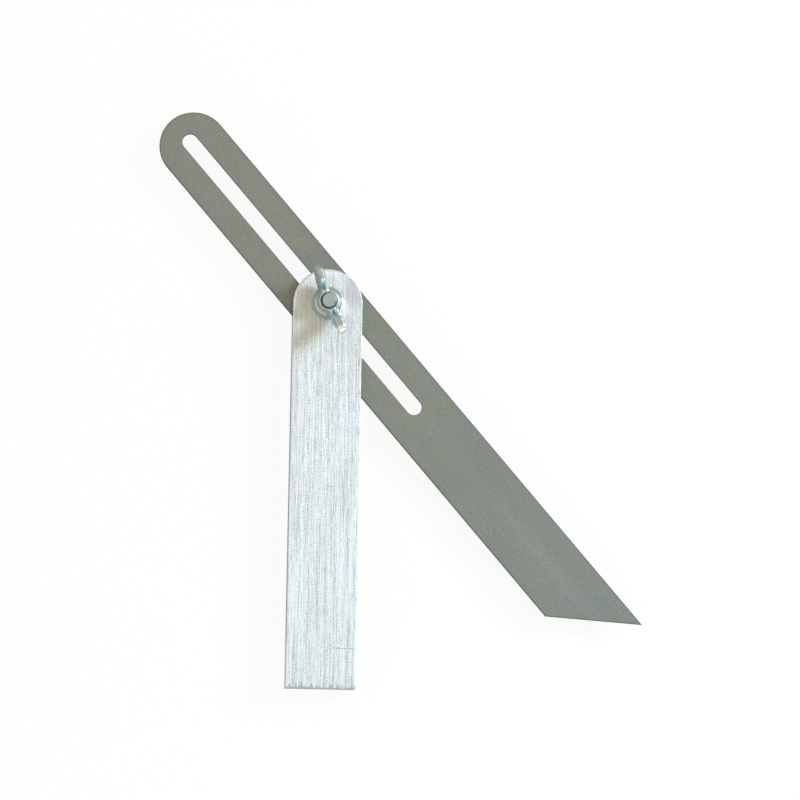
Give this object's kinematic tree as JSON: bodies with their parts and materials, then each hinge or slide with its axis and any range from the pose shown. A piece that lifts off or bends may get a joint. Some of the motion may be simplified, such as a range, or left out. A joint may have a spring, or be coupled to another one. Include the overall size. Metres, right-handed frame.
{
  "type": "sliding bevel",
  "caption": "Sliding bevel with a slotted steel blade that turns and slides in a slit aluminium stock and is clamped by a carriage bolt, washer and wing nut.",
  "frame": {"origin": "centre of the stock's butt end, level with the middle of the blade's thickness", "axes": "+Y along the stock towards its round end, +Z out of the stock's front face towards the wing nut, +X to the side the blade's tip opens to"},
  "size_m": [0.2144, 0.2499, 0.0273],
  "materials": {
    "stock_aluminium": "lengthwise brushed bare aluminium",
    "blade_steel": "fine satin grey steel",
    "zinc_plated_steel": "bright bluish zinc plate"
  },
  "bodies": {
    "stock": {"stock": "stock_aluminium"},
    "carriage_bolt": {"carriage_bolt": "zinc_plated_steel"},
    "blade": {"blade": "blade_steel"},
    "flat_washer": {"flat_washer": "zinc_plated_steel"},
    "wing_nut": {"wing_nut": "zinc_plated_steel"}
  },
  "joints": [
    {"name": "blade_swing", "type": "hinge", "parent": "stock", "child": "carriage_bolt", "pos_m": [0, 0.167, 0], "axis": [0, 0, 1], "range_deg": [-28.8, 126.2]},
    {"name": "blade_slide", "type": "slide", "parent": "carriage_bolt", "child": "blade", "axis": [0.66, -0.7513, 0], "range_m": [-0.056, 0.09]},
    {"name": "washer_lift", "type": "slide", "parent": "carriage_bolt", "child": "flat_washer", "axis": [0, 0, 1], "range_m": [0, 0.00126]},
    {"name": "wing_nut_turn", "type": "hinge", "parent": "flat_washer", "child": "wing_nut", "pos_m": [0, 0.167, 0], "axis": [0, 0, 1], "range_deg": [0, 450]}
  ],
  "couplings": [
    {"joint": "washer_lift", "follows": "wing_nut_turn", "m_per_rad": 0.00015915}
  ]
}
